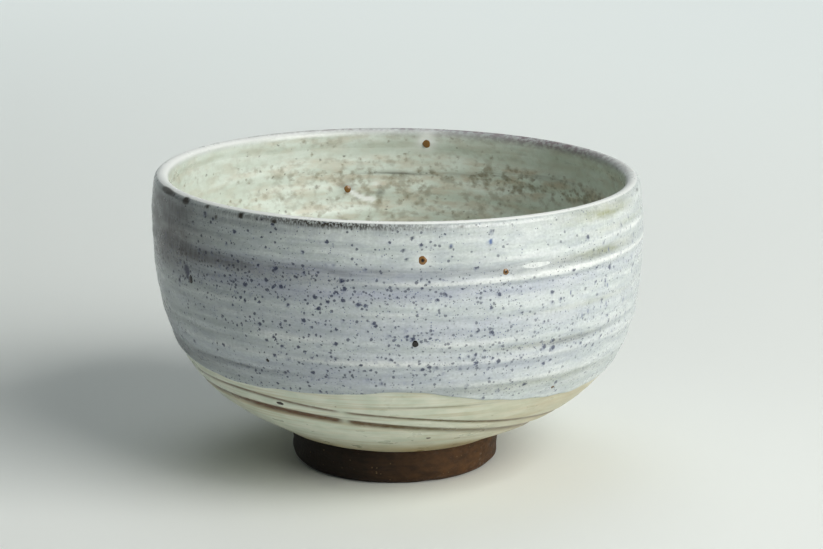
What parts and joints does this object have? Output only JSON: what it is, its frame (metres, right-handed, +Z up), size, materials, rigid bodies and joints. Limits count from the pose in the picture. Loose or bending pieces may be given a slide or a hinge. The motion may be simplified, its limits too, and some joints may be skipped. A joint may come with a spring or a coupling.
{
  "type": "matcha bowl",
  "caption": "Round thrown stoneware tea bowl on a low foot ring, glazed inside and out, with a speckled pale coat over the upper wall and lip.",
  "frame": {"origin": "middle of the foot ring's resting face, on the surface that the bowl stands on", "axes": "+Z up along the bowl's axis through its mouth; -Y is the side with the large iron grains that the front view shows, +X to its right"},
  "size_m": [0.1234, 0.1234, 0.0745],
  "materials": {
    "iron_clay": "unglazed iron-bearing stoneware, matt",
    "foot_clay": "unglazed dark brown stoneware, turned, faintly glossy",
    "inner_glaze": "pale green-grey glaze, glossy, brown flecks",
    "base_glaze": "cream glaze, satin gloss, brown in the turning grooves",
    "top_glaze": "milky blue-white glaze, glossy, dark blue speckles",
    "iron_spots": "melted iron grains, dark brown, glossy"
  },
  "bodies": {
    "root": {"clay_body": "iron_clay", "foot_ring": "foot_clay", "inner_glaze": "inner_glaze", "base_glaze": "base_glaze", "top_glaze": "top_glaze", "iron_spots": "iron_spots"}
  },
  "joints": []
}
